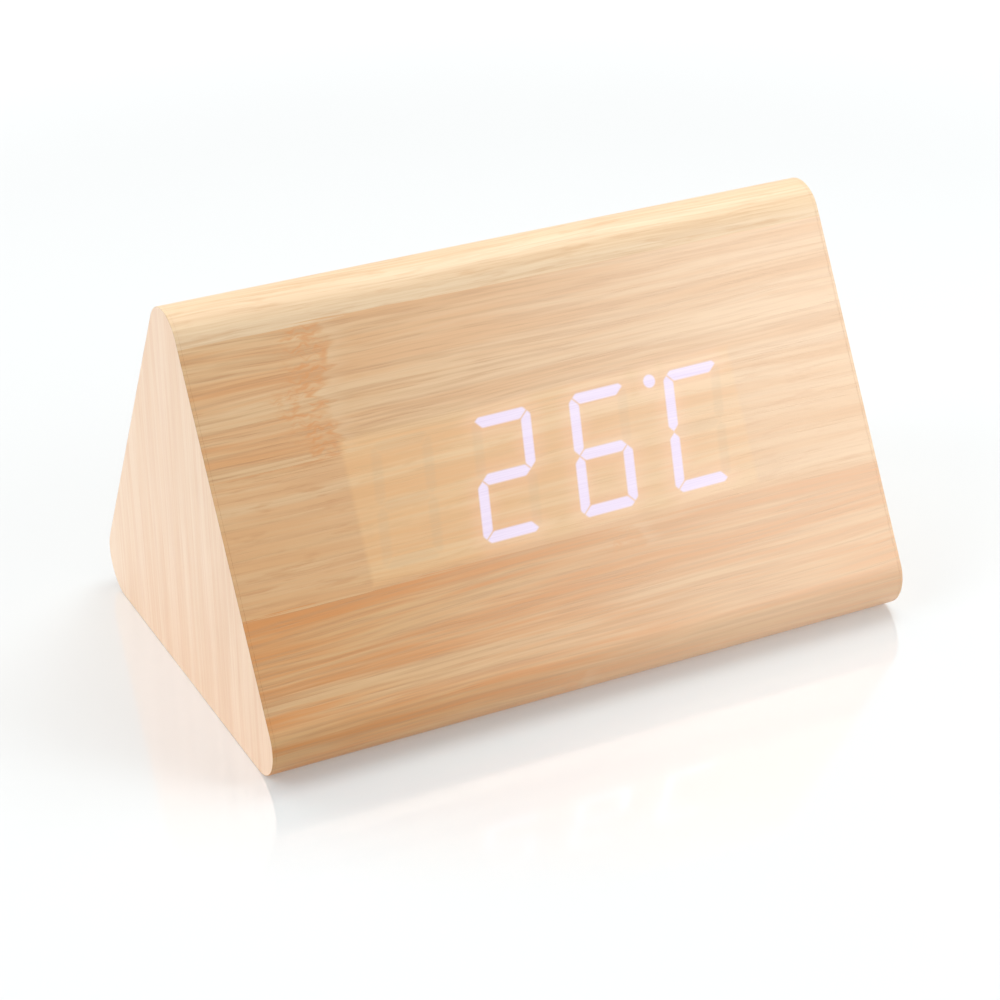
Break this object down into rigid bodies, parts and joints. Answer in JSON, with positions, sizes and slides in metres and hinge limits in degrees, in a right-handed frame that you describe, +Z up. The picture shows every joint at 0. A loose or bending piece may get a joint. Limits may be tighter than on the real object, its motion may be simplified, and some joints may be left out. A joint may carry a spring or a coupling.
{
  "type": "desk clock",
  "caption": "Triangular prism desk clock in wood veneer, lying on one long face, with lit numerals shining through its sloping front, push buttons behind and a battery door below.",
  "frame": {"origin": "on the table under the middle of the case, in the plane of its base", "axes": "+X along the case, to the right as the display is read; the front face looks towards -Y and up; +Z up"},
  "size_m": [0.118, 0.0756, 0.0679],
  "materials": {
    "veneer": "satin",
    "end_veneer": "satin",
    "fibreboard": "matte",
    "milky_film": "satin",
    "white_plastic": "satin",
    "circuit": "satin",
    "black_plastic": "matte",
    "tin": "satin",
    "nickel": "satin",
    "cell_sleeve": "satin",
    "sensor_resin": "satin",
    "grey_ribbon": "matte",
    "red_wire": "satin",
    "black_wire": "satin"
  },
  "bodies": {
    "case": {"front_board": "fibreboard", "rear_board": "fibreboard", "base_board": "fibreboard", "left_end_board": "fibreboard", "right_end_board": "fibreboard", "wrap_veneer": "veneer", "base_veneer": "veneer", "left_end_veneer": "end_veneer", "right_end_veneer": "end_veneer", "diffuser_film": "milky_film", "segment_reflector": "white_plastic", "led_board": "white_plastic", "main_board": "circuit", "display_screw_1": "tin", "display_screw_2": "tin", "display_screw_3": "tin", "display_screw_4": "tin", "controller_chip": "black_plastic", "crystal_can": "tin", "alarm_buzzer": "black_plastic", "ribbon_header": "white_plastic", "battery_header": "white_plastic", "control_board": "circuit", "set_switch": "tin", "up_switch": "tin", "down_switch": "tin", "power_inlet": "black_plastic", "inlet_pin": "nickel", "temperature_sensor": "sensor_resin", "control_spacer_1": "white_plastic", "control_spacer_2": "white_plastic", "control_screw_1": "tin", "control_screw_2": "tin", "ribbon_socket": "white_plastic", "ribbon_cable": "grey_ribbon", "battery_lead_red": "red_wire", "battery_lead_black": "black_wire", "battery_1": "cell_sleeve", "battery_2": "cell_sleeve", "battery_3": "cell_sleeve", "positive_contact": "nickel", "negative_contact": "nickel", "bridge_contact_1": "nickel", "bridge_contact_2": "nickel", "battery_tray": "black_plastic", "tray_screw_1": "tin", "tray_screw_2": "tin", "tray_screw_3": "tin", "tray_screw_4": "tin"},
    "set_button": {"set_button": "black_plastic", "set_plunger": "white_plastic"},
    "up_button": {"up_button": "black_plastic", "up_plunger": "white_plastic"},
    "down_button": {"down_button": "black_plastic", "down_plunger": "white_plastic"},
    "battery_door": {"battery_door": "black_plastic"}
  },
  "joints": [
    {"name": "set_button_press", "type": "slide", "parent": "case", "child": "set_button", "axis": [0, -0.8686, -0.4955], "range_m": [0, 0.0006], "stiffness_N_per_m": 800},
    {"name": "up_button_press", "type": "slide", "parent": "case", "child": "up_button", "axis": [0, -0.8686, -0.4955], "range_m": [0, 0.0006], "stiffness_N_per_m": 800},
    {"name": "down_button_press", "type": "slide", "parent": "case", "child": "down_button", "axis": [0, -0.8686, -0.4955], "range_m": [0, 0.0006], "stiffness_N_per_m": 800},
    {"name": "battery_door_hinge", "type": "hinge", "parent": "case", "child": "battery_door", "pos_m": [-0.02545, 0, 0.0017], "axis": [0, 1, 0], "range_deg": [0, 90]}
  ]
}
